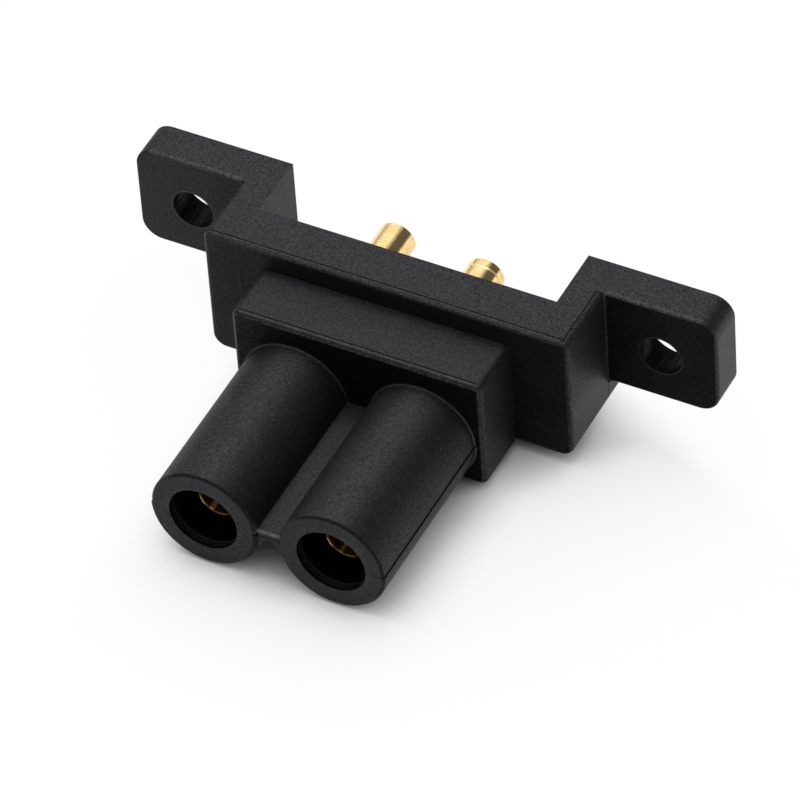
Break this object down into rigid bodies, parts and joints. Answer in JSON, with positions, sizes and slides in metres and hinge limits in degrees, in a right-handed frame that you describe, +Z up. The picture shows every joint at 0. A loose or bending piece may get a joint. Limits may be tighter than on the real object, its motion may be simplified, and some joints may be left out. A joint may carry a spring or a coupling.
{
  "type": "battery connector",
  "caption": "Two-pole battery connector: moulded black housing with two round socket tubes, mounting ears and plated tail pins behind.",
  "frame": {"origin": "midway between the two mounting holes, on the front faces of the ears", "axes": "+X from the left ear to the right ear as seen from the tubes' mouths, -Y out of the tubes, +Z up, away from the side where the tubes lie"},
  "size_m": [0.0644, 0.0392, 0.0167],
  "materials": {
    "housing_plastic": "fine spark-eroded grain",
    "gold_plating": "polished, gold plated"
  },
  "bodies": {
    "root": {"housing": "housing_plastic", "socket_left": "gold_plating", "socket_right": "gold_plating", "tail_pin_left": "gold_plating", "tail_pin_right": "gold_plating", "link_left": "gold_plating", "link_right": "gold_plating"}
  },
  "joints": []
}
